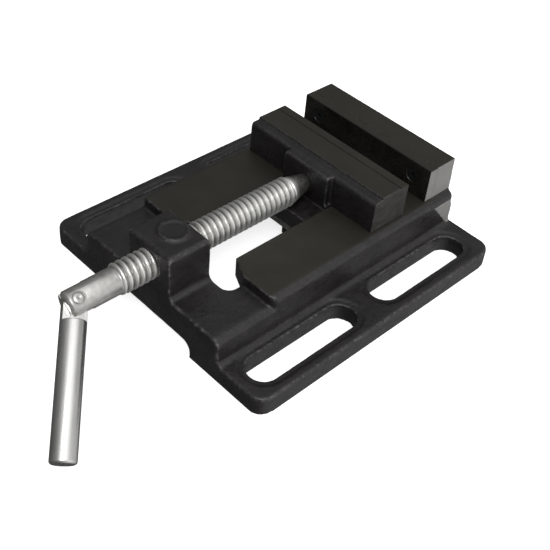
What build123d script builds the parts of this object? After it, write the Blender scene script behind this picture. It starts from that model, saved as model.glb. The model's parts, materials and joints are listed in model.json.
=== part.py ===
"""Low-profile drill press vise with a folding crank handle.

Millimetres, +Z up. The origin is at the middle of the base's underside.
+Y runs along the screw towards the fixed jaw, and +X is to the right when
looking along +Y.
"""
from build123d import *
import os
from math import cos, radians, sin

os.makedirs("parts", exist_ok=True)

# ---- driving dimensions ----------------------------------------------------
base_length = 187.0
base_width = 174.0
base_corner = 8.5
flange_height = 11.6
front_y = -base_length / 2

body_width = 109.0
body_height = 28.0
body_rear_y = front_y + 185.0
body_edge = 5.0
body_foot_fillet = 3.5
way_height = 34.4
way_edge = 4.5
way_corner = 5.0
way_front_y = front_y + 37.5
gap_width = 36.8
gap_front_y = front_y + 43.5
gap_rear_y = front_y + 160.0
throat_width = 61.2
throat_front_y = front_y + 27.5
throat_corner = 6.0

cavity_width = 92.0
cavity_height = 22.0
cavity_front_y = front_y + 9.0
cavity_rear_y = front_y + 178.0
arch_width = 66.0
arch_height = 9.6

slot_width = 18.2
slot_length = 74.6
slot_pitch = 92.0
slot_offset_x = 69.2
slot_center_y = front_y + 92.2
spotface_width = 26.0
spotface_depth = 0.7

boss_width = 33.0
boss_height = 54.6
boss_front_y = front_y + 0.4
boss_rear_y = front_y + 27.5
boss_pad_radius = 8.7
boss_pad_height = 1.3
boss_dish_radius = 6.6
boss_dish_depth = 0.5
boss_pad_y = front_y + 16.8

screw_height = 42.1
thread_radius = 8.6
thread_bore_clearance = 0.06
shank_radius = 7.4
shank_end_chamfer = 0.6
pivot_y = front_y - 43.5
screw_front_y = pivot_y - 6.3
thread_start_y = front_y - 21.0
thread_end_y = front_y + 98.0
nose_shoulder_radius = 7.9
journal_radius = 4.8
journal_clearance = 0.06
journal_start_y = front_y + 111.5
journal_end_y = front_y + 131.0
groove_radius = 3.4
groove_center_y = front_y + 122.0
groove_length = 3.4

jaw_width = 100.0
fixed_face_y = front_y + 161.5
fixed_rear_y = front_y + 183.5
fixed_height = 56.2
fixed_rear_foot_y = front_y + 184.9
plate_thickness = 6.0
plate_bottom = 34.7

moving_width = 99.0
moving_face_y = front_y + 142.5
moving_rear_y = front_y + 115.5
moving_height = 55.9
ledge_height = 54.4
ledge_front_y = front_y + 121.5
slide_clearance = 0.05
hub_width = 34.0
hub_rear_y = front_y + 111.5
hub_height = 53.8
tongue_rear_y = front_y + 95.5
tongue_height = 32.6
tongue_side_clearance = 0.15

keeper_width = 54.0
keeper_rear_y = front_y + 97.5
keeper_thickness = 6.0
keeper_clearance = 0.1
keeper_bolt_radius = 3.0
keeper_bolt_head_radius = 5.0
keeper_bolt_head_height = 6.0
keeper_bolt_length = 14.0
keeper_bolt_front_y = front_y + 128.0
keeper_bolt_rear_y = front_y + 104.5
washer_outer_radius = 5.4
washer_thickness = 1.6

plate_screw_radius = 2.5
plate_screw_head_radius = 4.6
plate_screw_head_depth = 2.2
plate_screw_length = 14.0
plate_screw_spacing = 76.0
plate_screw_height = 47.0

handle_radius = 6.5
handle_reach = 77.4
handle_end_chamfer = 0.9
handle_shoulder = 9.9
handle_fold = 54.5
handle_roll = 35.3
tongue_thickness = 4.8
fork_slot = 5.1
fork_slot_depth = 7.2
pivot_radius = 2.5
pivot_clearance = 0.05
rivet_head_radius = 3.2
rivet_seat = 6.4
rivet_head_height = 1.1

# ---- derived places ----------------------------------------------------------
gap_half = gap_width / 2
keeper_top = cavity_height - keeper_clearance
keeper_bottom = keeper_top - keeper_thickness
moving_back_y = moving_face_y - plate_thickness
fixed_back_y = fixed_face_y + plate_thickness
fold = radians(handle_fold)
roll = radians(handle_roll)
handle_direction = Vector(sin(fold) * cos(roll), -cos(fold), -sin(fold) * sin(roll))
pivot_direction = Vector(sin(roll), 0, cos(roll))
pivot_point = Vector(0, pivot_y, screw_height)
handle_plane = Plane(origin=pivot_point, x_dir=pivot_direction, z_dir=handle_direction)
pivot_plane = Plane(origin=pivot_point, x_dir=(0, 1, 0), z_dir=pivot_direction)


def along_y(y, height=screw_height):
    """Sketch plane across the screw at a station along Y, facing +Y."""
    return Plane(origin=(0, y, height), x_dir=(-1, 0, 0), z_dir=(0, 1, 0))


def finish(builder, name):
    """Label a finished sub-part and write its STEP file."""
    builder.part.label = name
    export_step(builder.part, f"parts/{name}.step")


# ---- base casting ------------------------------------------------------------
body_length = body_rear_y - front_y
body_center_y = (body_rear_y + front_y) / 2
way_rear_y = fixed_rear_y
boss_length = boss_rear_y - boss_front_y

with BuildPart() as base_casting:
    # low mounting flange
    with BuildSketch(Plane.XY):
        RectangleRounded(base_width, base_length, base_corner)
    extrude(amount=flange_height)
    fillet(base_casting.faces().sort_by(Axis.Z)[-1].edges(), 1.2)
    # raised hollow body
    with BuildSketch(Plane.XY.offset(flange_height - 2)):
        with Locations((0, body_center_y)):
            Rectangle(body_width, body_length)
    extrude(amount=body_height - flange_height + 2)
    foot = (
        base_casting.edges()
        .filter_by(Axis.Y)
        .filter_by_position(Axis.Z, flange_height - 0.01, flange_height + 0.01)
        .filter_by(lambda edge: abs(abs(edge.center().X) - body_width / 2) < 0.01)
    )
    fillet(foot, body_foot_fillet)
    top_rim = base_casting.faces().sort_by(Axis.Z)[-1].edges().filter_by(Axis.Y)
    fillet(top_rim, body_edge)
    # machined ways, raised above the body's front floor
    with BuildSketch(Plane.XY.offset(body_height - 6)):
        with Locations((0, (way_front_y + way_rear_y) / 2)):
            Rectangle(body_width, way_rear_y - way_front_y)
    extrude(amount=way_height - body_height + 6)
    way_rim = base_casting.faces().sort_by(Axis.Z)[-1].edges().filter_by(Axis.Y)
    fillet(way_rim, way_edge)
    for side in (-1, 1):
        outer_x = side * body_width / 2
        corner_x = side * (body_width / 2 - way_corner)
        with BuildSketch(Plane.XY.offset(body_height - 2)):
            with BuildLine():
                RadiusArc(
                    (corner_x, way_front_y),
                    (outer_x, way_front_y + way_corner),
                    -side * way_corner,
                )
                Polyline(
                    (outer_x, way_front_y + way_corner),
                    (outer_x + side, way_front_y + way_corner),
                    (outer_x + side, way_front_y),
                    (corner_x, way_front_y),
                )
            make_face()
        extrude(amount=way_height - body_height + 4, mode=Mode.SUBTRACT)
    # screw boss at the front
    with BuildSketch(Plane.XY.offset(body_height - 6)):
        with Locations((0, (boss_front_y + boss_rear_y) / 2)):
            Rectangle(boss_width, boss_length)
    extrude(amount=boss_height - body_height + 6)
    boss_foot = (
        base_casting.edges()
        .filter_by(Axis.Y)
        .filter_by_position(Axis.Z, body_height - 0.01, body_height + 0.01)
        .filter_by(lambda edge: abs(abs(edge.center().X) - boss_width / 2) < 0.01)
    )
    fillet(boss_foot, 3.5)
    boss_sides = base_casting.faces().sort_by(Axis.Z)[-1].edges()
    fillet(boss_sides, 2.5)
    with BuildSketch(Plane.XY.offset(boss_height - 1)):
        with Locations((0, boss_pad_y)):
            Circle(boss_pad_radius)
    extrude(amount=boss_pad_height + 1)
    fillet(base_casting.faces().sort_by(Axis.Z)[-1].edges(), 0.8)
    with BuildSketch(Plane.XY.offset(boss_height + boss_pad_height - boss_dish_depth)):
        with Locations((0, boss_pad_y)):
            Circle(boss_dish_radius)
    extrude(amount=boss_dish_depth, mode=Mode.SUBTRACT)
    # fixed jaw, cast in one with the body, its rear face sloping out to the foot
    with BuildSketch(Plane.YZ.offset(-jaw_width / 2)):
        with BuildLine():
            Polyline(
                (fixed_back_y, body_height - 6),
                (fixed_rear_foot_y, body_height - 6),
                (fixed_rear_foot_y, body_height + 2),
                (fixed_rear_y, fixed_height),
                (fixed_back_y, fixed_height),
                close=True,
            )
        make_face()
    extrude(amount=jaw_width)
    # throat behind the boss and the gap between the ways
    with BuildSketch(Plane.XY.offset(cavity_height - 4)) as throat:
        with BuildLine():
            Polyline(
                (gap_half, gap_rear_y),
                (gap_half, gap_front_y),
                (throat_width / 2, way_front_y),
                (throat_width / 2, throat_front_y),
                (-throat_width / 2, throat_front_y),
                (-throat_width / 2, way_front_y),
                (-gap_half, gap_front_y),
                (-gap_half, gap_rear_y),
                close=True,
            )
        make_face()
        throat_corners = throat.vertices().group_by(Axis.Y)[0]
        fillet(throat_corners, throat_corner)
    extrude(amount=fixed_height, mode=Mode.SUBTRACT)
    # hollow underside with an arch through each end wall
    with BuildSketch(Plane.XY):
        with Locations((0, (cavity_front_y + cavity_rear_y) / 2)):
            RectangleRounded(cavity_width, cavity_rear_y - cavity_front_y, 5)
    extrude(amount=cavity_height, mode=Mode.SUBTRACT)
    with BuildSketch(Plane.XZ.offset(-front_y)):
        RectangleRounded(arch_width, 2 * arch_height, 6)
    extrude(amount=-base_length, mode=Mode.SUBTRACT)
    # clamping slots with shallow spot faces
    slot_places = [
        (side * slot_offset_x, slot_center_y + end * slot_pitch / 2)
        for side in (-1, 1)
        for end in (-1, 1)
    ]
    with BuildSketch(Plane.XY):
        with Locations(*slot_places):
            SlotOverall(slot_length, slot_width, rotation=90)
    extrude(amount=flange_height + 2, mode=Mode.SUBTRACT)
    with BuildSketch(Plane.XY.offset(flange_height - spotface_depth)):
        with Locations(*slot_places):
            SlotOverall(slot_length + spotface_width - slot_width, spotface_width, rotation=90)
    extrude(amount=6, mode=Mode.SUBTRACT)
    # bore for the screw, along Y through the boss
    with BuildSketch(along_y(front_y - 1)):
        Circle(thread_radius + thread_bore_clearance)
    extrude(amount=boss_rear_y - front_y + 2, mode=Mode.SUBTRACT)
    # tapped holes for the fixed jaw plate
    with BuildSketch(along_y(fixed_face_y, plate_screw_height)):
        with GridLocations(plate_screw_spacing, 1, 2, 1):
            Circle(plate_screw_radius + 0.05)
    extrude(amount=plate_screw_length + 1, mode=Mode.SUBTRACT)
finish(base_casting, "base_casting")


# ---- jaw plates and their countersunk screws -----------------------------------
def jaw_plate(width, face_y, back_y, top):
    """Hardened plate with two countersunk holes opening on its working face."""
    inward = 1 if back_y > face_y else -1
    with BuildPart() as plate:
        with BuildSketch(Plane.XY.offset(plate_bottom)):
            with Locations((0, (face_y + back_y) / 2)):
                Rectangle(width, plate_thickness)
        extrude(amount=top - plate_bottom)
        for side in (-1, 1):
            center = (side * plate_screw_spacing / 2, face_y, plate_screw_height)
            working_face = Plane(origin=center, x_dir=(1, 0, 0), z_dir=(0, -inward, 0))
            with Locations(working_face):
                CounterSinkHole(
                    radius=plate_screw_radius + 0.05,
                    counter_sink_radius=plate_screw_head_radius + 0.1,
                    depth=plate_thickness,
                )
        top_edges = plate.faces().sort_by(Axis.Z)[-1].edges()
        chamfer(top_edges, 0.4)
    return plate


def plate_screws(face_y, inward):
    """Two countersunk screws, heads just under the plate's working face."""
    with BuildPart() as screws:
        for side in (-1, 1):
            x = side * plate_screw_spacing / 2
            head_face = Plane(
                origin=(x, face_y + inward * 0.15, plate_screw_height),
                x_dir=(1, 0, 0),
                z_dir=(0, inward, 0),
            )
            with BuildSketch(head_face):
                Circle(plate_screw_head_radius - 0.15)
            with BuildSketch(head_face.offset(plate_screw_head_depth)):
                Circle(plate_screw_radius - 0.05)
            loft()
            with BuildSketch(head_face.offset(plate_screw_head_depth)):
                Circle(plate_screw_radius - 0.05)
            extrude(amount=plate_screw_length - plate_screw_head_depth - 0.5)
            with BuildSketch(head_face):
                RegularPolygon(1.7, 6)
            extrude(amount=1.8, mode=Mode.SUBTRACT)
    return screws


fixed_jaw_plate = jaw_plate(jaw_width, fixed_face_y, fixed_back_y, fixed_height)
finish(fixed_jaw_plate, "fixed_jaw_plate")
fixed_jaw_plate_screws = plate_screws(fixed_face_y, 1)
finish(fixed_jaw_plate_screws, "fixed_jaw_plate_screws")
moving_jaw_plate = jaw_plate(moving_width, moving_face_y, moving_back_y, moving_height)
finish(moving_jaw_plate, "moving_jaw_plate")
moving_jaw_plate_screws = plate_screws(moving_face_y, -1)
finish(moving_jaw_plate_screws, "moving_jaw_plate_screws")

# ---- moving jaw --------------------------------------------------------------
tongue_half = gap_half - tongue_side_clearance
bar_bottom = way_height + slide_clearance

with BuildPart() as moving_jaw:
    # bar across the ways, with a lower cast ledge behind its machined top
    with BuildSketch(Plane.XY.offset(bar_bottom)):
        with Locations((0, (moving_rear_y + moving_back_y) / 2)):
            Rectangle(moving_width, moving_back_y - moving_rear_y)
    extrude(amount=ledge_height - bar_bottom)
    fillet(moving_jaw.faces().sort_by(Axis.Z)[-1].edges().sort_by(Axis.Y)[0], 2.2)
    # hub around the screw's nose
    with BuildSketch(Plane.XY.offset(bar_bottom)):
        with Locations((0, (hub_rear_y + moving_back_y) / 2)):
            Rectangle(hub_width, moving_back_y - hub_rear_y)
    extrude(amount=hub_height - bar_bottom)
    hub_top = (
        moving_jaw.edges()
        .filter_by(Axis.X)
        .filter_by_position(Axis.Z, hub_height - 0.01, hub_height + 0.01)
    )
    fillet(hub_top.sort_by(Axis.Y)[0], 1.5)
    with BuildSketch(Plane.XY.offset(ledge_height - 5)):
        with Locations((0, (ledge_front_y + moving_back_y) / 2)):
            Rectangle(moving_width, moving_back_y - ledge_front_y)
    extrude(amount=moving_height - ledge_height + 5)
    # guide tongue down through the gap
    with BuildSketch(Plane.XY.offset(keeper_top)):
        with Locations((0, (tongue_rear_y + moving_back_y) / 2)):
            Rectangle(2 * tongue_half, moving_back_y - tongue_rear_y)
    extrude(amount=tongue_height - keeper_top)
    with BuildSketch(Plane.XY.offset(tongue_height - 1)):
        with Locations((0, (hub_rear_y + moving_back_y) / 2)):
            Rectangle(2 * tongue_half, moving_back_y - hub_rear_y)
    extrude(amount=bar_bottom - tongue_height + 2)
    # blind bore for the screw's journal
    with BuildSketch(along_y(hub_rear_y - 1)):
        Circle(journal_radius + journal_clearance)
    extrude(amount=journal_end_y - hub_rear_y + 1.6, mode=Mode.SUBTRACT)
    # hole for the retaining pin, tangent to the journal's groove
    with BuildSketch(Plane.XY.offset(keeper_top - 1)):
        with Locations((groove_radius + 1.6, groove_center_y)):
            Circle(1.55)
    extrude(amount=30, mode=Mode.SUBTRACT)
    # tapped holes for the keeper bolts
    with BuildSketch(Plane.XY.offset(keeper_top - 1)):
        with Locations((0, keeper_bolt_front_y), (0, keeper_bolt_rear_y)):
            Circle(keeper_bolt_radius + 0.05)
    extrude(amount=10.5, mode=Mode.SUBTRACT)
    # tapped holes for the jaw plate
    with BuildSketch(along_y(moving_back_y, plate_screw_height)):
        with GridLocations(plate_screw_spacing, 1, 2, 1):
            Circle(plate_screw_radius + 0.05)
    extrude(amount=-(plate_screw_length - plate_thickness + 1), mode=Mode.SUBTRACT)
finish(moving_jaw, "moving_jaw")

# ---- keeper plate under the ways -------------------------------------------------
with BuildPart() as keeper_plate:
    with BuildSketch(Plane.XY.offset(keeper_bottom)):
        with Locations((0, (keeper_rear_y + moving_back_y) / 2)):
            RectangleRounded(keeper_width, moving_back_y - keeper_rear_y, 3)
        with Locations((0, keeper_bolt_front_y), (0, keeper_bolt_rear_y)):
            Circle(keeper_bolt_radius + 0.3, mode=Mode.SUBTRACT)
    extrude(amount=keeper_thickness)
finish(keeper_plate, "keeper_plate")

with BuildPart() as keeper_washers:
    with BuildSketch(Plane.XY.offset(keeper_bottom)):
        with Locations((0, keeper_bolt_front_y), (0, keeper_bolt_rear_y)):
            Circle(washer_outer_radius)
            Circle(keeper_bolt_radius + 0.2, mode=Mode.SUBTRACT)
    extrude(amount=-washer_thickness)
finish(keeper_washers, "keeper_spring_washers")

head_top = keeper_bottom - washer_thickness
with BuildPart() as keeper_bolts:
    with BuildSketch(Plane.XY.offset(head_top)):
        with Locations((0, keeper_bolt_front_y), (0, keeper_bolt_rear_y)):
            Circle(keeper_bolt_head_radius)
    extrude(amount=-keeper_bolt_head_height)
    chamfer(keeper_bolts.faces().group_by(Axis.Z)[0].edges(), 0.5)
    with BuildSketch(Plane.XY.offset(head_top - 0.5)):
        with Locations((0, keeper_bolt_front_y), (0, keeper_bolt_rear_y)):
            Circle(keeper_bolt_radius)
    extrude(amount=keeper_bolt_length + 0.5)
    with BuildSketch(Plane.XY.offset(head_top - keeper_bolt_head_height)):
        with Locations((0, keeper_bolt_front_y), (0, keeper_bolt_rear_y)):
            RegularPolygon(2.8, 6)
    extrude(amount=3, mode=Mode.SUBTRACT)
finish(keeper_bolts, "keeper_bolts")

# ---- lead screw --------------------------------------------------------------
with BuildPart() as lead_screw:
    with BuildSketch(along_y(screw_front_y)):
        Circle(shank_radius)
    extrude(amount=thread_start_y - screw_front_y)
    chamfer(lead_screw.faces().sort_by(Axis.Y)[0].edges(), shank_end_chamfer)
    with BuildSketch(along_y(thread_start_y)):
        Circle(thread_radius)
    extrude(amount=thread_end_y - thread_start_y)
    with BuildSketch(along_y(thread_end_y)):
        Circle(nose_shoulder_radius)
    with BuildSketch(along_y(journal_start_y)):
        Circle(journal_radius)
    loft()
    with BuildSketch(along_y(journal_start_y)):
        Circle(journal_radius)
    extrude(amount=journal_end_y - journal_start_y)
    chamfer(lead_screw.faces().sort_by(Axis.Y)[-1].edges(), 1)
    # groove for the retaining pin
    with BuildSketch(along_y(groove_center_y - groove_length / 2)):
        Circle(journal_radius + 1)
        Circle(groove_radius, mode=Mode.SUBTRACT)
    extrude(amount=groove_length, mode=Mode.SUBTRACT)
    # fork slot for the handle's tongue, across the pivot axis
    with BuildSketch(pivot_plane.offset(-fork_slot / 2)):
        with Locations((fork_slot_depth / 2 - shank_radius, 0)):
            Rectangle(fork_slot_depth + 2 * shank_radius, 4 * shank_radius)
    extrude(amount=fork_slot, mode=Mode.SUBTRACT)
    # pivot hole and a flat seat for each rivet head
    with BuildSketch(pivot_plane.offset(-shank_radius - 1)):
        Circle(pivot_radius + 0.02)
    extrude(amount=2 * shank_radius + 2, mode=Mode.SUBTRACT)
    for seat_plane, depth in (
        (pivot_plane.offset(rivet_seat), shank_radius),
        (pivot_plane.offset(-rivet_seat), -shank_radius),
    ):
        with BuildSketch(seat_plane):
            Circle(rivet_head_radius + 0.3)
        extrude(amount=depth, mode=Mode.SUBTRACT)
finish(lead_screw, "lead_screw")

with BuildPart() as screw_retaining_pin:
    with BuildSketch(Plane.XY.offset(keeper_top + 0.2)):
        with Locations((groove_radius + 1.6, groove_center_y)):
            Circle(1.5)
    extrude(amount=28)
finish(screw_retaining_pin, "screw_retaining_pin")

# ---- folding handle and its rivet ------------------------------------------------
with BuildPart() as handle_bar:
    with BuildSketch(handle_plane.offset(handle_shoulder)):
        Circle(handle_radius)
    extrude(amount=handle_reach - handle_shoulder)
    end_faces = handle_bar.faces().filter_by(lambda f: abs(f.normal_at().dot(handle_direction)) > 0.99)
    far_end = end_faces.sort_by(lambda f: (f.center() - pivot_point).length)[-1]
    chamfer(far_end.edges(), handle_end_chamfer)
    # flat tongue with a rounded end about the pivot
    with BuildSketch(pivot_plane.offset(-tongue_thickness / 2)):
        Circle(handle_radius - 0.1)
        tongue_length = handle_shoulder + 1
        reach = tongue_length / 2
        with Locations(Location((-reach * cos(fold), -reach * sin(fold)), handle_fold)):
            Rectangle(tongue_length, 2 * handle_radius - 0.2)
    extrude(amount=tongue_thickness)
    with BuildSketch(pivot_plane.offset(-tongue_thickness)):
        Circle(pivot_radius + pivot_clearance)
    extrude(amount=2 * tongue_thickness, mode=Mode.SUBTRACT)
finish(handle_bar, "handle_bar")

with BuildPart() as handle_rivet:
    with BuildSketch(pivot_plane.offset(-rivet_seat)):
        Circle(pivot_radius)
    extrude(amount=2 * rivet_seat)
    for seat_plane, height in (
        (pivot_plane.offset(rivet_seat), rivet_head_height),
        (pivot_plane.offset(-rivet_seat), -rivet_head_height),
    ):
        with BuildSketch(seat_plane):
            Circle(rivet_head_radius)
        extrude(amount=height)
finish(handle_rivet, "handle_rivet")
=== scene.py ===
import json
import math

import bmesh
import bpy
import numpy as np
from mathutils import Matrix, Vector, noise


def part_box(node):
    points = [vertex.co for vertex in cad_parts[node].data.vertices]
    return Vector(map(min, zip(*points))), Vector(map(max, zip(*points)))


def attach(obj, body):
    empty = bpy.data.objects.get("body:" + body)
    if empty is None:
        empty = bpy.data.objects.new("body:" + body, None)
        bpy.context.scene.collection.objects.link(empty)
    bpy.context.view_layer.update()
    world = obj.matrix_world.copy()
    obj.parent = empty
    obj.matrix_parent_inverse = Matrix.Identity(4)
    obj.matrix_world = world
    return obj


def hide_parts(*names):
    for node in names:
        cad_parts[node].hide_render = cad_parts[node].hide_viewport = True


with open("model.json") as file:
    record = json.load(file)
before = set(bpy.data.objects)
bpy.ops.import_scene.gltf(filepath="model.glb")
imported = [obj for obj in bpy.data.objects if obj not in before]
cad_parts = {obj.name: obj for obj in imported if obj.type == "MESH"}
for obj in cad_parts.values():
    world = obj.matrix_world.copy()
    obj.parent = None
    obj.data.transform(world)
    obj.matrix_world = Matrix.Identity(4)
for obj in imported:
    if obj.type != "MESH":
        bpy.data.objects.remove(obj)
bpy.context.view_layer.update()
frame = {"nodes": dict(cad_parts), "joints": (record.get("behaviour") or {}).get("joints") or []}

MM = 0.001
scene = bpy.context.scene

# ---- sizes, in millimetres, from the frame and the CAD's driving values -------
base_low, base_high = [Vector(corner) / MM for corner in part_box("base_casting")]
front_y = base_low.y
screw_low, screw_high = [Vector(corner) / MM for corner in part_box("lead_screw")]
jaw_high = Vector(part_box("moving_jaw")[1]) / MM
fixed_face = (Vector(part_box("fixed_jaw_plate")[0]) / MM).y

joints = {joint["name"]: joint for joint in frame["joints"]}
pivot = Vector(joints["handle_fold"]["pos_m"]) / MM
pivot_axis = Vector(joints["handle_fold"]["axis"]).normalized()
screw_axis = Vector((0, 1, 0))
screw_height = joints["screw_turn"]["pos_m"][2] / MM

jaw_bar_height = 21.45
way_height = jaw_high.z - jaw_bar_height
way_front = front_y + 37.5
way_edge = 5.4
plate_thickness = 6.0
jaw_half_width = 49.3
shank_radius = 7.4
thread_radius = (screw_high.x - screw_low.x) / 2
root_radius = 7.0
thread_pitch = 3.7
thread_start = front_y - 21.0
thread_end = front_y + 98.0
nose_shoulder_radius = 7.9
journal_radius = 4.8
journal_start = front_y + 111.5
handle_radius = 6.5
handle_fold = math.radians(54.5)
handle_shoulder = 9.9
handle_reach = 77.4
handle_end_chamfer = 0.9
tongue_thickness = 4.8
fork_slot = 5.1
fork_slot_depth = 7.2
fork_end_chamfer = 1.4
far_cheek_front = -4.5
rivet_seat = 6.4
rivet_seat_radius = 3.5
rivet_head_radius = 3.2
rivet_head_height = 1.1
rivet_shank_radius = 2.45
rivet_hole_radius = 2.55

# least normal component of a face that counts as facing an axis
FACING = 0.8
TURNED_SEGMENTS = 96
SMALL_SEGMENTS = 48

handle_direction = (
    Vector((0, -1, 0)) * math.cos(handle_fold)
    + pivot_axis.cross(Vector((0, -1, 0))) * math.sin(handle_fold)
).normalized()


# ---- mesh helpers -------------------------------------------------------------
def make_object(name, mesh):
    """Links a new object that uses the mesh."""
    piece = bpy.data.objects.new(name, mesh)
    scene.collection.objects.link(piece)
    return piece


def from_bmesh(name, bm):
    """Turns a bmesh into an object, with its faces pointing outwards."""
    bmesh.ops.recalc_face_normals(bm, faces=bm.faces)
    mesh = bpy.data.meshes.new(name)
    bm.to_mesh(mesh)
    bm.free()
    return make_object(name, mesh)


def applied(piece):
    """Bakes the piece's modifiers into its mesh."""
    graph = bpy.context.evaluated_depsgraph_get()
    graph.update()
    mesh = bpy.data.meshes.new_from_object(piece.evaluated_get(graph))
    old = piece.data
    piece.modifiers.clear()
    piece.data = mesh
    bpy.data.meshes.remove(old)
    return piece


def rounded(points, radius, steps=4):
    """Rounds the inner corners of a profile of (distance, radius) points."""
    result = [points[0]]
    for before, corner, after in zip(points, points[1:], points[2:]):
        corner = Vector(corner)
        arm_in = Vector(before) - corner
        arm_out = Vector(after) - corner
        reach = min(radius, arm_in.length * 0.45, arm_out.length * 0.45)
        first = corner + arm_in.normalized() * reach
        last = corner + arm_out.normalized() * reach
        for step in range(steps + 1):
            share = step / steps
            blend = first.lerp(corner, share).lerp(corner.lerp(last, share), share)
            result.append(tuple(blend))
    result.append(points[-1])
    return result


def lathe(name, profile, origin, direction, segments=72):
    """Turns a profile of (distance along the axis, radius) points into a closed solid."""
    direction = direction.normalized()
    side = direction.orthogonal().normalized()
    other = direction.cross(side)
    bm = bmesh.new()
    rings = []
    for distance, radius in profile:
        middle = origin + direction * distance
        if radius < 1e-6:
            rings.append([bm.verts.new(middle * MM)])
            continue
        ring = []
        for step in range(segments):
            angle = 2 * math.pi * step / segments
            offset = side * (radius * math.cos(angle)) + other * (radius * math.sin(angle))
            ring.append(bm.verts.new((middle + offset) * MM))
        rings.append(ring)
    for low, high in zip(rings, rings[1:]):
        for step in range(segments):
            following = (step + 1) % segments
            corners = [low[step % len(low)], low[following % len(low)]]
            corners += [high[following % len(high)], high[step % len(high)]]
            corners = list(dict.fromkeys(corners))
            if len(corners) > 2:
                bm.faces.new(corners)
    return from_bmesh(name, bm)


def slab(name, outline, origin, x_dir, normal, low, high):
    """Extrudes a closed outline of (x, y) points between two heights along a normal."""
    y_dir = normal.cross(x_dir)
    bm = bmesh.new()
    levels = []
    for height in (low, high):
        points = [origin + x_dir * x + y_dir * y + normal * height for x, y in outline]
        levels.append([bm.verts.new(point * MM) for point in points])
    bm.faces.new(levels[0])
    bm.faces.new(levels[1])
    count = len(outline)
    for step in range(count):
        following = (step + 1) % count
        bm.faces.new([levels[0][step], levels[0][following], levels[1][following], levels[1][step]])
    return from_bmesh(name, bm)


def combined(piece, tool, operation):
    """Applies an exact boolean and removes the tool."""
    modifier = piece.modifiers.new("cut", "BOOLEAN")
    modifier.operation = operation
    modifier.solver = "EXACT"
    modifier.object = tool
    applied(piece)
    bpy.data.objects.remove(tool)
    return piece


def softened(piece, width, segments=2, angle=35):
    """Rounds the sharp edges by width, in millimetres, and shades the rest smooth."""
    modifier = piece.modifiers.new("edges", "BEVEL")
    modifier.width = width * MM
    modifier.segments = segments
    modifier.limit_method = "ANGLE"
    modifier.angle_limit = math.radians(angle)
    modifier.use_clamp_overlap = True
    applied(piece)
    piece.data.shade_smooth()
    piece.data.set_sharp_from_angle(angle=math.radians(40))
    return piece


def dressed(piece, body, slot, materials, *nodes):
    """Gives a piece its body and materials and hides the CAD nodes it stands for; the finish slot
    is not used.
    """
    piece.data.materials.clear()
    for material in materials:
        piece.data.materials.append(material)
    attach(piece, body)
    if nodes:
        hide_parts(*nodes)
    return piece


# ---- material helpers -----------------------------------------------------------
class Shade:
    """A material being built from nodes."""

    def __init__(self, name, metallic=0.0, **constants):
        self.material = bpy.data.materials.new(name)
        self.material.use_nodes = True
        self.tree = self.material.node_tree
        self.shader = self.tree.nodes["Principled BSDF"]
        self.shader.inputs["Metallic"].default_value = metallic
        for socket, value in constants.items():
            self.shader.inputs[socket.replace("_", " ")].default_value = value
        self.place = self.tree.nodes.new("ShaderNodeTexCoord").outputs["Object"]

    def link(self, source, target):
        """Joins an output socket to an input socket."""
        self.tree.links.new(source, target)

    def mapping(self, scale):
        """The piece's own coordinates, scaled."""
        node = self.tree.nodes.new("ShaderNodeMapping")
        node.inputs["Scale"].default_value = scale
        self.link(self.place, node.inputs["Vector"])
        return node.outputs["Vector"]

    def noise(self, size, detail=3.0, roughness=0.55, stretch=(1, 1, 1)):
        """Noise whose lumps are about size millimetres, longer where stretch is above 1."""
        node = self.tree.nodes.new("ShaderNodeTexNoise")
        node.inputs["Scale"].default_value = 1 / (size * MM)
        node.inputs["Detail"].default_value = detail
        node.inputs["Roughness"].default_value = roughness
        self.link(self.mapping([1 / amount for amount in stretch]), node.inputs["Vector"])
        return node.outputs["Fac"]

    def cells(self, size):
        """Distance from scattered points about size millimetres apart."""
        node = self.tree.nodes.new("ShaderNodeTexVoronoi")
        node.inputs["Scale"].default_value = 1 / (size * MM)
        self.link(self.place, node.inputs["Vector"])
        return node.outputs["Distance"]

    def ramp(self, source, low, high, low_value=0.0, high_value=1.0):
        """Maps low to high linearly onto low_value to high_value, clamped."""
        node = self.tree.nodes.new("ShaderNodeMapRange")
        node.inputs["From Min"].default_value = low
        node.inputs["From Max"].default_value = high
        node.inputs["To Min"].default_value = low_value
        node.inputs["To Max"].default_value = high_value
        self.link(source, node.inputs["Value"])
        return node.outputs["Result"]

    def math(self, operation, first, second):
        """Combines two values, each a socket or a number."""
        node = self.tree.nodes.new("ShaderNodeMath")
        node.operation = operation
        for socket, value in zip(node.inputs, (first, second)):
            if isinstance(value, (int, float)):
                socket.default_value = value
            else:
                self.link(value, socket)
        return node.outputs["Value"]

    def mix(self, factor, first, second):
        """Mixes two colours, each a socket or a colour."""
        node = self.tree.nodes.new("ShaderNodeMix")
        node.data_type = "RGBA"
        colours = [socket for socket in node.inputs if socket.type == "RGBA"]
        for socket, value in zip(colours, (first, second)):
            if isinstance(value, tuple):
                socket.default_value = (*value, 1)
            else:
                self.link(value, socket)
        self.link(factor, node.inputs[0])
        return [socket for socket in node.outputs if socket.type == "RGBA"][0]

    def pointiness(self):
        """Above a half on convex edges and below it in corners."""
        return self.tree.nodes.new("ShaderNodeNewGeometry").outputs["Pointiness"]

    def bump(self, height, depth, before=None):
        """Adds relief of about depth millimetres."""
        node = self.tree.nodes.new("ShaderNodeBump")
        node.inputs["Distance"].default_value = depth * MM
        self.link(height, node.inputs["Height"])
        if before is not None:
            self.link(before, node.inputs["Normal"])
        return node.outputs["Normal"]

    def done(self, colour, roughness, normal):
        """Joins the three maps to the shader and gives the material."""
        self.link(colour, self.shader.inputs["Base Color"])
        self.link(roughness, self.shader.inputs["Roughness"])
        self.link(normal, self.shader.inputs["Normal"])
        return self.material


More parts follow.
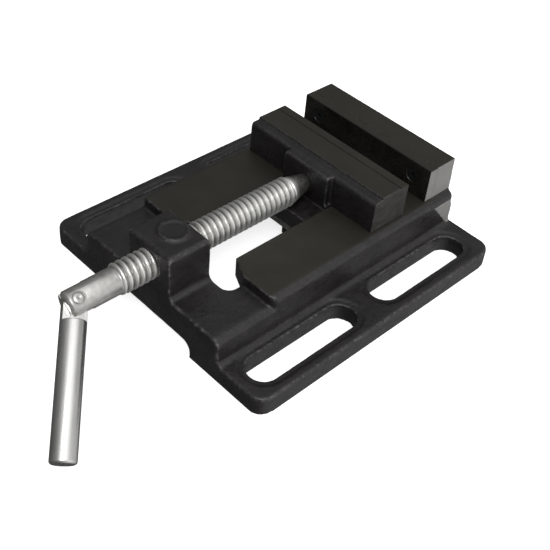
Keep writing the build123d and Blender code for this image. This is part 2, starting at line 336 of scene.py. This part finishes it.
def cast_paint():
    """Thin satin black paint over sand-cast iron."""
    shade = Shade("cast_black_paint", Specular_IOR_Level=0.62)
    broad = shade.noise(14, 4)
    grains = shade.noise(0.9, 4, 0.65)
    pits = shade.cells(1.7)
    deep, faded, bare_iron_and_glint = (0.0054, 0.0044, 0.0050), (0.0108, 0.0088, 0.0098), (0.14, 0.133, 0.138)
    colour = shade.mix(shade.ramp(broad, 0.35, 0.65), deep, faded)
    # painted highlight: convex edges are lightened to pale grey in broken patches, partly
    # worn-through paint and partly a painted glint
    glints = shade.ramp(shade.noise(2.4, 5, 0.75), 0.46, 0.68)
    edge = shade.ramp(shade.pointiness(), 0.507, 0.55)
    wear_and_glint = shade.math("MULTIPLY", glints, edge)
    colour = shade.mix(wear_and_glint, colour, bare_iron_and_glint)
    roughness = shade.ramp(shade.noise(2.6, 4, 0.65, (1, 3, 1)), 0.3, 0.7, 0.22, 0.56)
    normal = shade.bump(grains, 0.17)
    normal = shade.bump(shade.ramp(pits, 0.0, 0.6), 0.05, normal)
    normal = shade.bump(shade.noise(4.5, 3), 0.26, normal)
    return shade.done(colour, roughness, normal)


def machined_dark():
    """Milled and blackened top faces, with a fine grain across the ways."""
    shade = Shade("machined_black", metallic=0.35)
    broad = shade.noise(18, 4)
    lines = shade.noise(0.35, 3, 0.6, (40, 1, 1))
    dark, light, speck = (0.026, 0.0245, 0.0185), (0.032, 0.0303, 0.023), (0.075, 0.073, 0.065)
    colour = shade.mix(shade.ramp(broad, 0.35, 0.68), dark, light)
    specks = shade.ramp(shade.noise(0.8, 3, 0.6), 0.68, 0.78)
    colour = shade.mix(specks, colour, speck)
    roughness = shade.ramp(shade.noise(1.6, 4, 0.6, (8, 1, 1)), 0.3, 0.7, 0.42, 0.52)
    normal = shade.bump(lines, 0.012)
    normal = shade.bump(shade.noise(0.6, 3), 0.02, normal)
    return shade.done(colour, roughness, normal)


def ground_end(name, dark, light, metallic, striation):
    """Ground end faces of the jaws, with striations along the vise."""
    shade = Shade(name, metallic=metallic)
    lines = shade.noise(0.5, 3, 0.7, (1, 34, 1))
    broad = shade.noise(7, 3)
    colour = shade.mix(shade.ramp(lines, 0.3, 0.72), dark, light)
    colour = shade.mix(shade.ramp(broad, 0.35, 0.75, 0.0, 0.55), colour, dark)
    roughness = shade.ramp(lines, 0.3, 0.7, 0.45, 0.62)
    return shade.done(colour, roughness, shade.bump(lines, striation))


def jaw_black():
    """Hardened jaw plates, black and finely ground."""
    shade = Shade("jaw_plate_black", metallic=0.2, Specular_IOR_Level=0.6)
    lines = shade.noise(0.3, 3, 0.6, (50, 1, 1))
    broad = shade.noise(10, 3)
    colour = shade.mix(shade.ramp(broad, 0.35, 0.7), (0.008, 0.0072, 0.006), (0.016, 0.015, 0.012))
    roughness = shade.ramp(shade.noise(4, 4), 0.3, 0.7, 0.22, 0.40)
    return shade.done(colour, roughness, shade.bump(lines, 0.01))


def turned_steel():
    """Bright turned screw, its thread's root darkened by painted shade together with oil and dust.
    """
    shade = Shade("turned_steel", metallic=0.93)
    parts = shade.tree.nodes.new("ShaderNodeSeparateXYZ")
    shade.link(shade.place, parts.inputs["Vector"])
    height = shade.math("SUBTRACT", parts.outputs["Z"], screw_height * MM)
    square = shade.math("MULTIPLY", height, height)
    across = shade.math("MULTIPLY", parts.outputs["X"], parts.outputs["X"])
    distance = shade.math("SQRT", shade.math("ADD", square, across), 0.0)
    # painted shade: the thread's root is darkened towards a dark oil tone, standing in for shade in
    # the groove as well as oil
    root_shade_and_oil = shade.ramp(distance, (root_radius + 0.9) * MM, (root_radius + 0.1) * MM)
    root_shade_and_oil = shade.math("MULTIPLY", root_shade_and_oil, shade.ramp(shade.noise(1.4, 4), 0.25, 0.7, 0.6, 1.0))
    run_in = (thread_start + 0.2) * MM, (thread_start + 1.4) * MM
    threaded = shade.ramp(parts.outputs["Y"], *run_in)
    root_shade_and_oil = shade.math("MULTIPLY", root_shade_and_oil, threaded)
    grey, bright, shade_and_oil_tone = (0.80, 0.795, 0.77), (0.93, 0.925, 0.90), (0.15, 0.145, 0.135)
    clean = shade.mix(shade.ramp(shade.noise(6, 4), 0.3, 0.7), grey, bright)
    dull, fair = (0.44, 0.435, 0.415), (0.60, 0.595, 0.575)
    plain = shade.mix(shade.ramp(shade.noise(3, 4), 0.3, 0.7), dull, fair)
    clean = shade.mix(threaded, plain, clean)
    colour = shade.mix(root_shade_and_oil, clean, shade_and_oil_tone)
    roughness = shade.ramp(shade.noise(1.2, 4, 0.6), 0.3, 0.7, 0.28, 0.44)
    normal = shade.bump(shade.noise(0.25, 3, 0.6, (6, 1, 6)), 0.015)
    normal = shade.bump(shade.noise(0.8, 4, 0.65), 0.07, normal)
    return shade.done(colour, roughness, normal)


def drawn_steel():
    """Bright drawn bar, lightly polished, with drawing lines along it."""
    shade = Shade("drawn_steel", metallic=1.0)
    turn = shade.tree.nodes.new("ShaderNodeVectorRotate")
    turn.rotation_type = "AXIS_ANGLE"
    spin_axis = handle_direction.cross(Vector((0, 0, 1)))
    turn.inputs["Axis"].default_value = spin_axis.normalized()
    turn.inputs["Angle"].default_value = handle_direction.angle(Vector((0, 0, 1)))
    turn.inputs["Center"].default_value = pivot * MM
    shade.link(shade.place, turn.inputs["Vector"])
    shade.place = turn.outputs["Vector"]
    lines = shade.noise(0.3, 2, 0.6, (1, 1, 60))
    blotches = shade.noise(5, 4, 0.6, (1, 1, 3))
    colour = shade.mix(shade.ramp(lines, 0.3, 0.7), (0.72, 0.715, 0.705), (0.80, 0.795, 0.78))
    colour = shade.mix(shade.ramp(blotches, 0.5, 0.85, 0.0, 0.25), colour, (0.45, 0.44, 0.42))
    roughness = shade.ramp(shade.noise(1.6, 4, 0.6, (1, 1, 6)), 0.3, 0.7, 0.22, 0.34)
    normal = shade.bump(lines, 0.002)
    return shade.done(colour, roughness, normal)


def plain_steel(name, dark, light, low, high, metallic):
    """Simple steel finish for plates and fasteners, between two tones and two roughnesses."""
    shade = Shade(name, metallic=metallic)
    colour = shade.mix(shade.ramp(shade.noise(2.5, 4), 0.3, 0.7), dark, light)
    roughness = shade.ramp(shade.noise(1.1, 4), 0.3, 0.7, low, high)
    normal = shade.bump(shade.noise(0.5, 3, 0.6), 0.02)
    return shade.done(colour, roughness, normal)


def glowing(name, brightness):
    """White surface of the floor and the backdrop."""
    shade = Shade(name, Specular_IOR_Level=0.1, Emission_Strength=brightness)
    shade.shader.inputs["Emission Color"].default_value = (1, 1, 1, 1)
    white, whiter = (0.80, 0.80, 0.80), (0.82, 0.82, 0.82)
    colour = shade.mix(shade.ramp(shade.noise(60, 2), 0.3, 0.7), white, whiter)
    roughness = shade.ramp(shade.noise(30, 2), 0.3, 0.7, 0.85, 0.95)
    return shade.done(colour, roughness, shade.bump(shade.noise(1.5, 2), 0.01))


paint = cast_paint()
milled = machined_dark()
end_dark, end_streak = (0.004, 0.0037, 0.0034), (0.036, 0.034, 0.032)
ground = ground_end("ground_end_dark", end_dark, end_streak, 0.1, 0.08)
end_grey, end_light = (0.17, 0.167, 0.163), (0.26, 0.256, 0.25)
ground_bright = ground_end("ground_end_bright", end_grey, end_light, 0.5, 0.02)
plate_black = jaw_black()
screw_steel = turned_steel()
bar_steel = drawn_steel()
black_oxide = plain_steel("black_oxide", (0.012, 0.012, 0.013), (0.03, 0.03, 0.031), 0.3, 0.5, 0.6)
rolled = plain_steel("rolled_plate", (0.16, 0.155, 0.15), (0.30, 0.29, 0.28), 0.4, 0.6, 0.9)
zinc = plain_steel("zinc_plate", (0.45, 0.45, 0.46), (0.6, 0.6, 0.62), 0.25, 0.4, 1.0)


# ---- cast pieces ------------------------------------------------------------------
def cast_copy(name, node, voxel, cast_zone, passes, crisp_passes):
    """Copies a CAD node into an even mesh, rounds its cast edges and roughens its cast skin."""
    source = frame["nodes"][node]
    piece = make_object(name, source.data.copy())
    remesh = piece.modifiers.new("even", "REMESH")
    remesh.mode = "VOXEL"
    remesh.voxel_size = voxel * MM
    remesh.adaptivity = 0
    applied(piece)
    mesh = piece.data
    count = len(mesh.vertices)
    points = np.empty(count * 3)
    mesh.vertices.foreach_get("co", points)
    points = points.reshape(-1, 3) / MM
    edges = np.empty(len(mesh.edges) * 2, dtype=np.int64)
    mesh.edges.foreach_get("vertices", edges)
    edges = edges.reshape(-1, 2)
    neighbours = np.bincount(edges.ravel(), minlength=count)[:, None]
    weight = cast_zone(points)[:, None]
    for turn in range(passes):
        total = np.zeros_like(points)
        np.add.at(total, edges[:, 0], points[edges[:, 1]])
        np.add.at(total, edges[:, 1], points[edges[:, 0]])
        pull = 0.5 * (weight if turn >= crisp_passes else np.ones_like(weight))
        points = points + pull * (total / neighbours - points)
    mesh.vertices.foreach_set("co", (points * MM).ravel())
    mesh.update()
    normals = np.empty(count * 3)
    mesh.vertices.foreach_get("normal", normals)
    normals = normals.reshape(-1, 3)
    lumps = np.zeros(count)
    broad_size, broad_height, fine_size, fine_height = 9.0, 0.10, 2.1, 0.055
    for index in np.nonzero(weight[:, 0] > 0.02)[0]:
        place = Vector(points[index])
        broad = noise.noise(place / broad_size)
        fine = noise.noise(place / fine_size + Vector((7, 3, 5)))
        lumps[index] = broad_height * broad + fine_height * fine
    points = points + normals * (lumps * weight[:, 0])[:, None]
    mesh.vertices.foreach_set("co", (points * MM).ravel())
    mesh.update()
    mesh.shade_smooth()
    return piece


def face_table(piece):
    """Face middles in millimetres and face normals."""
    count = len(piece.data.polygons)
    middles = np.empty(count * 3)
    normals = np.empty(count * 3)
    piece.data.polygons.foreach_get("center", middles)
    piece.data.polygons.foreach_get("normal", normals)
    return middles.reshape(-1, 3) / MM, normals.reshape(-1, 3)


def smooth_step(values, low, high):
    """0 up to low and 1 from high, with a smooth rise between them."""
    share = np.clip((values - low) / (high - low), 0, 1)
    return share * share * (3 - 2 * share)


def base_zone(points):
    """1 on cast skin, 0 on the milled ways and the fixed jaw's faces."""
    x, y, z = points.T
    along_ways = smooth_step(y, way_front + 0.6, way_front + 2.4) * (y < fixed_face + 5)
    ways = smooth_step(z, way_height - 1.0, way_height - 0.4) * along_ways
    jaw = smooth_step(z, base_high.z - 1.6, base_high.z - 0.8)
    seat = (np.abs(y - fixed_face - plate_thickness) < 0.6) * (z > way_height)
    ends = (np.abs(x) > jaw_half_width) * (z > way_height + 0.5) * (y > fixed_face)
    underside = smooth_step(-z, -0.9, -0.3)
    crisp = np.clip(ways + jaw + seat + ends + underside, 0, 1)
    return 1 - crisp


base = cast_copy("base_body", "base_casting", 0.6, base_zone, 7, 1)
middles, normals = face_table(base)
x, y, z = middles.T
upward = normals[:, 2] > FACING
sideways = np.abs(normals[:, 0])
at_ways = (z > way_height - 0.25) * (z < way_height + 0.3) * (y > way_front)
on_top = upward * (at_ways | (z > base_high.z - 0.3))
on_end = (sideways > FACING) * (np.abs(x) > 49.5) * (z > way_height + 0.6)
# ground patch at each rear corner of the body, its front edge sloping down and back
pad_low, pad_high, pad_slope = 13.0, way_height - 4.8, 0.87
pad_front = base_high.y - 19.5 + (way_height - way_edge - z) * pad_slope
on_pad = (sideways > 0.72) * (y > pad_front) * (z > pad_low) * (z < pad_high)
index = np.zeros(len(x), dtype=np.int32)
index[on_top] = 1
index[on_end | on_pad] = 2
dressed(base, "base", "cast_black", [paint, milled, ground_bright], "base_casting")
base.data.polygons.foreach_set("material_index", index)


def jaw_zone(points):
    """1 on cast skin, 0 on the jaw's milled band, ends and sliding faces."""
    x, y, z = points.T
    band = smooth_step(z, jaw_high.z - 1.4, jaw_high.z - 0.6)
    ends = smooth_step(np.abs(x), jaw_half_width - 0.7, jaw_half_width - 0.1)
    sole = smooth_step(-z, -(way_height + 1.0), -(way_height + 0.4))
    seat = smooth_step(y, jaw_high.y - 1.0, jaw_high.y - 0.4)
    return 1 - np.clip(band + ends + sole + seat, 0, 1)


jaw = cast_copy("sliding_jaw_body", "moving_jaw", 0.5, jaw_zone, 8, 1)
middles, normals = face_table(jaw)
x, y, z = middles.T
on_band = (normals[:, 2] > FACING) * (z > jaw_high.z - 0.3)
on_end = (np.abs(normals[:, 0]) > FACING) * (np.abs(x) > jaw_half_width - 0.3)
index = np.zeros(len(x), dtype=np.int32)
index[on_band] = 1
index[on_end] = 2
dressed(jaw, "sliding_jaw", "cast_black", [paint, milled, ground], "moving_jaw")
jaw.data.polygons.foreach_set("material_index", index)


# ---- lead screw -------------------------------------------------------------------
def thread_mesh():
    """One continuous skin: shank, run-in, helical thread, tapered nose and journal."""
    around = 96
    per_pitch = 20
    step = thread_pitch / per_pitch
    start, end = thread_start, thread_end
    stations = [start - 3.0, start - 1.2]
    count = int(round((end - start) / step))
    stations += [start + (end - start) * share / count for share in range(count + 1)]
    centre = Vector((0, 0, screw_height))
    half = thread_pitch / 2
    crest_half, root_half = 0.42, 0.34
    run_in_length, run_out_length = 2.2, 1.2

    def thread_surface(station, angle):
        if station < start:
            return shank_radius - 0.02
        phase = (station / thread_pitch + angle / (2 * math.pi)) % 1.0
        away = abs(phase - 0.5) * 2 * half
        flank = min(1.0, max(0.0, (away - crest_half) / (half - crest_half - root_half)))
        flank = flank * flank * (3 - 2 * flank) * 0.55 + flank * 0.45
        depth = (thread_radius - root_radius) * flank
        run_in = min(1.0, max(0.0, (station - start) / run_in_length))
        run_out = min(1.0, max(0.0, (end - station) / run_out_length))
        outer = shank_radius + (thread_radius - shank_radius) * run_in
        outer = nose_shoulder_radius + (outer - nose_shoulder_radius) * run_out
        return outer - depth * min(run_in, run_out)

    bm = bmesh.new()
    rings = []
    angles = [2 * math.pi * part / around for part in range(around)]

    def add_ring(station, radii):
        ring = []
        for angle, radius in zip(angles, radii):
            offset = Vector((math.cos(angle) * radius, station, -math.sin(angle) * radius))
            ring.append(bm.verts.new((centre + offset) * MM))
        rings.append(ring)

    for station in stations:
        add_ring(station, [thread_surface(station, angle) for angle in angles])
    nose = [
        (end + 0.6, nose_shoulder_radius - 0.1),
        (journal_start - 0.4, journal_radius + 0.2),
        (journal_start, journal_radius),
        (screw_high.y - 16.0, journal_radius),
        (screw_high.y - 1.0, journal_radius),
        (screw_high.y - 0.02, journal_radius - 1.0),
    ]
    for station, radius in nose:
        add_ring(station, [radius] * around)
    for low, high in zip(rings, rings[1:]):
        for part in range(around):
            following = (part + 1) % around
            bm.faces.new([low[part], high[part], high[following], low[following]])
    bm.faces.new(rings[0])
    bm.faces.new(list(reversed(rings[-1])))
    piece = from_bmesh("screw_thread", bm)
    piece.data.shade_smooth()
    piece.data.set_sharp_from_angle(angle=math.radians(50))
    return piece


thread = thread_mesh()
dressed(thread, "screw", "screw_steel", [screw_steel], "lead_screw")

fork_front = screw_low.y + 0.25
fork_profile = rounded(
    [
        (0, 0),
        (0, shank_radius - fork_end_chamfer),
        (fork_end_chamfer, shank_radius),
        (thread_start - fork_front - 0.4, shank_radius),
        (thread_start - fork_front, shank_radius - 0.4),
        (thread_start - fork_front, 0),
    ],
    0.5,
)
fork_origin = Vector((0, fork_front, screw_height))
fork = lathe("screw_fork", fork_profile, fork_origin, screw_axis, TURNED_SEGMENTS)
past_fork = 12


def cut_fork(back, low, high):
    """Cuts the fork from beyond its front to back, between two heights along the pivot."""
    front = fork_front - 2 - pivot.y
    outline = [(front, -past_fork), (back, -past_fork), (back, past_fork), (front, past_fork)]
    cutter = slab("cut", outline, pivot, screw_axis, pivot_axis, low, high)
    combined(fork, cutter, "DIFFERENCE")


# the slot for the handle's tongue, then the far cheek shortened, then the rivet's seats
cut_fork(fork_slot_depth, -fork_slot / 2, fork_slot / 2)
cut_fork(far_cheek_front, -past_fork, -fork_slot / 2 + 0.1)
for side in (-1, 1):
    outward = pivot_axis * side
    seat_profile = [(0, 0), (0, rivet_seat_radius), (4, rivet_seat_radius), (4, 0)]
    seat = lathe("cut", seat_profile, pivot + outward * rivet_seat, outward, SMALL_SEGMENTS)
    combined(fork, seat, "DIFFERENCE")
softened(fork, 0.28, 2)
dressed(fork, "screw", "screw_steel", [screw_steel], "lead_screw")

# rivet with domed heads, each with a punch mark in its middle
rivet_profile = [(-rivet_seat - 0.55, 0), (-rivet_seat - 0.6, 0.5), (-rivet_seat - 0.85, 0.95)]
for step in range(4, 13):
    angle = math.pi / 2 * step / 12
    height = rivet_head_height * math.cos(angle)
    rivet_profile.append((-rivet_seat - height, rivet_head_radius * math.sin(angle)))
rivet_profile.append((-rivet_seat + 0.1, rivet_head_radius))
rivet_profile.append((-rivet_seat + 0.1, rivet_shank_radius))
rivet_profile += [(-distance, radius) for distance, radius in reversed(rivet_profile)]
rivet = lathe("rivet", rivet_profile, pivot, pivot_axis, 64)
rivet.data.shade_smooth()
rivet.data.set_sharp_from_angle(angle=math.radians(50))
dressed(rivet, "screw", "handle_steel", [screw_steel], "handle_rivet")


# ---- folding handle -----------------------------------------------------------------
bar_profile = rounded(
    [
        (handle_shoulder, 0),
        (handle_shoulder, handle_radius),
        (handle_reach - handle_end_chamfer, handle_radius),
        (handle_reach, handle_radius - handle_end_chamfer),
        (handle_reach, 0),
    ],
    0.7,
    5,
)
handle = lathe("handle", bar_profile, pivot, handle_direction, TURNED_SEGMENTS)
tongue_half = handle_radius - 0.02
tongue_root = handle_shoulder + 1.5
outline = [(tongue_root, -tongue_half), (tongue_root, tongue_half)]
for step in range(33):
    angle = math.pi / 2 + math.pi * step / 32
    outline.append((tongue_half * math.cos(angle), tongue_half * math.sin(angle)))
half_tongue = tongue_thickness / 2
tongue = slab("tongue", outline, pivot, handle_direction, pivot_axis, -half_tongue, half_tongue)
stub_profile = [(-handle_radius, 0), (-handle_radius, tongue_half)]
stub_profile += [(tongue_root, tongue_half), (tongue_root, 0)]
stub = lathe("stub", stub_profile, pivot, handle_direction, TURNED_SEGMENTS)
combined(stub, tongue, "INTERSECT")
combined(handle, stub, "UNION")
hole_profile = [(-4, 0), (-4, rivet_hole_radius), (4, rivet_hole_radius), (4, 0)]
hole = lathe("cut", hole_profile, pivot, pivot_axis, SMALL_SEGMENTS)
combined(handle, hole, "DIFFERENCE")
softened(handle, 0.3, 2)
dressed(handle, "handle", "handle_steel", [bar_steel], "handle_bar")


# ---- keeper hardware under the ways -----------------------------------------------------
def spring_washers():
    """Two split washers, each a square-section ring with a sprung gap."""
    low, high = [Vector(corner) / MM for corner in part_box("keeper_spring_washers")]
    thickness = high.z - low.z
    outer = (high.x - low.x) / 2
    inner = outer - 2.1
    section = [(inner, 0.1), (outer, 0.1), (outer, thickness - 0.1), (inner, thickness - 0.1)]
    first_angle, turn, steps, spring = 8, 344, 48, 0.18
    bm = bmesh.new()
    for centre_y in (low.y + outer, high.y - outer):
        rings = []
        for step in range(steps + 1):
            angle = math.radians(first_angle + turn * step / steps)
            lift = spring * (step / steps - 0.5)
            ring = []
            for radius, level in section:
                ahead = centre_y + radius * math.sin(angle)
                place = Vector((radius * math.cos(angle), ahead, low.z + level + lift))
                ring.append(bm.verts.new(place * MM))
            rings.append(ring)
        for first, second in zip(rings, rings[1:]):
            for corner in range(4):
                following = (corner + 1) % 4
                bm.faces.new([first[corner], first[following], second[following], second[corner]])
        bm.faces.new(rings[0])
        bm.faces.new(list(reversed(rings[-1])))
    return from_bmesh("spring_washers", bm)


washers = spring_washers()
softened(washers, 0.15, 2)
dressed(washers, "sliding_jaw", "washer_steel", [zinc], "keeper_spring_washers")

finishes = {
    "fixed_jaw_plate_screws": black_oxide,
    "moving_jaw_plate_screws": black_oxide,
    "keeper_plate": rolled,
    "keeper_bolts": black_oxide,
    "screw_retaining_pin": zinc,
}
for node, material in finishes.items():
    mesh = frame["nodes"][node].data
    mesh.materials.clear()
    mesh.materials.append(material)
for node in ("fixed_jaw_plate", "moving_jaw_plate"):
    mesh = frame["nodes"][node].data
    mesh.materials.clear()
    end_finish = ground_bright if node == "fixed_jaw_plate" else ground
    for material in (plate_black, milled, end_finish):
        mesh.materials.append(material)
    for face in mesh.polygons:
        up_facing = face.normal.z > 0.9
        end_facing = abs(face.normal.x) > 0.9 and abs(face.center.x) > (jaw_half_width - 0.3) * MM
        face.material_index = 1 if up_facing else 2 if end_facing else 0


# ---- studio ------------------------------------------------------------------------------
def staged(name, bm, brightness):
    """A backdrop piece that the camera sees and shiny metal doesn't reflect."""
    piece = from_bmesh(name, bm)
    piece.data.shade_smooth()
    piece.data.materials.append(glowing(name + "_white", brightness))
    piece.visible_glossy = False
    return piece


# in metres; the floor lies just below the base and reaches out to near the dome
floor_radius, floor_gap, dome_radius = 3.0, 0.0004, 3.2
floor_bm = bmesh.new()
bmesh.ops.create_circle(floor_bm, cap_ends=True, segments=96, radius=floor_radius)
floor = staged("floor", floor_bm, 0.75)
floor.location.z = -floor_gap
dome_bm = bmesh.new()
bmesh.ops.create_uvsphere(dome_bm, u_segments=96, v_segments=48, radius=dome_radius)
dome = staged("backdrop", dome_bm, 1.0)
dome.visible_diffuse = False
dome.visible_shadow = False

world = bpy.data.worlds.new("studio")
scene.world = world
world.use_nodes = True
tree = world.node_tree
background = tree.nodes["Background"]
sky = tree.nodes.new("ShaderNodeTexCoord").outputs["Generated"]


def sky_level(direction, tones):
    """Grey level set by how far the sky leans towards a direction, from -1 to 1."""
    lean = tree.nodes.new("ShaderNodeVectorMath")
    lean.operation = "DOT_PRODUCT"
    lean.inputs[1].default_value = Vector(direction).normalized()
    share = tree.nodes.new("ShaderNodeMapRange")
    share.inputs["From Min"].default_value = -1
    levels = tree.nodes.new("ShaderNodeValToRGB")
    tree.links.new(sky, lean.inputs[0])
    tree.links.new(lean.outputs["Value"], share.inputs["Value"])
    tree.links.new(share.outputs["Result"], levels.inputs["Fac"])
    elements = levels.color_ramp.elements
    for lean_at, tone in tones[1:-1]:
        elements.new((lean_at + 1) / 2)
    for element, (lean_at, tone) in zip(elements, tones):
        element.position = (lean_at + 1) / 2
        element.color = (tone, tone, tone, 1)
    return levels.outputs["Color"]


# a bright ceiling leaning right, floor light from the right, and a pale card at the right
overhead_tones = [(-1, 0.07), (-0.4, 0.09), (-0.05, 0.15), (0.2, 0.17), (0.43, 0.28)]
overhead_tones += [(0.6, 0.37), (0.8, 0.62), (0.93, 1.2), (1, 1.35)]
overhead = sky_level((0.36, 0.02, 0.93), overhead_tones)
right_side = sky_level((1, 0.3, 0), [(-1, 0), (0.2, 0.0), (0.7, 1), (1, 1)])
below = sky_level((0, 0, -1), [(-1, 0), (-0.45, 0.0), (0, 0.34), (0.4, 0.46), (1, 0.46)])
card = sky_level((0.95, 0.25, 0.15), [(-1, 0), (0.80, 0.0), (0.93, 0.36), (1, 0.42)])


def sky_mix(blend, first, second):
    """Combines two sky levels by adding or multiplying them."""
    node = tree.nodes.new("ShaderNodeMix")
    node.data_type = "RGBA"
    node.blend_type = blend
    node.inputs[0].default_value = 1
    colours = [socket for socket in node.inputs if socket.type == "RGBA"]
    tree.links.new(first, colours[0])
    tree.links.new(second, colours[1])
    return [socket for socket in node.outputs if socket.type == "RGBA"][0]


bounce = sky_mix("MULTIPLY", right_side, below)
sky_total = sky_mix("ADD", sky_mix("ADD", overhead, bounce), card)
tree.links.new(sky_total, background.inputs["Color"])

target = Vector((0, 0, 0.03))


def softbox(name, place, width, height, energy):
    """A rectangular light aimed at the target, in metres and watts."""
    light = bpy.data.lights.new(name, "AREA")
    light.shape = "RECTANGLE"
    light.size = width
    light.size_y = height
    light.energy = energy
    lamp = bpy.data.objects.new(name, light)
    scene.collection.objects.link(lamp)
    lamp.location = place
    lamp.rotation_mode = "QUATERNION"
    lamp.rotation_quaternion = (Vector(place) - target).to_track_quat("Z", "Y")
    return lamp


softbox("key_front", (0.52, -0.60, 0.85), 0.4, 0.4, 4.5)
softbox("fill_right", (0.85, 0.40, 0.22), 0.7, 0.3, 5).visible_glossy = False

# ---- camera --------------------------------------------------------------------------------
frame_pixels = 550.0
focal_pixels = 960.948
centre_x, centre_y = 297.886, 272.111
sensor_width = 36
right = Vector((0.697806, 0.710119, 0.093796))
up = Vector((-0.528431, 0.421964, 0.736686))
back = Vector((0.483556, -0.563629, 0.669698))
camera_data = bpy.data.cameras.new("camera")
camera = bpy.data.objects.new("camera", camera_data)
scene.collection.objects.link(camera)
camera_data.sensor_width = sensor_width
camera_data.lens = focal_pixels / frame_pixels * sensor_width
camera_data.shift_x = (frame_pixels / 2 - centre_x) / frame_pixels
camera_data.shift_y = (centre_y - frame_pixels / 2) / frame_pixels
camera_data.clip_start = 0.01
camera_data.clip_end = 50
camera_data.dof.use_dof = False
place = Vector((288.991, -314.235, 369.917)) * MM
camera.matrix_world = Matrix(
    (
        (right.x, up.x, back.x, place.x),
        (right.y, up.y, back.y, place.y),
        (right.z, up.z, back.z, place.z),
        (0, 0, 0, 1),
    )
)
scene.camera = camera
scene.view_settings.view_transform = "Standard"
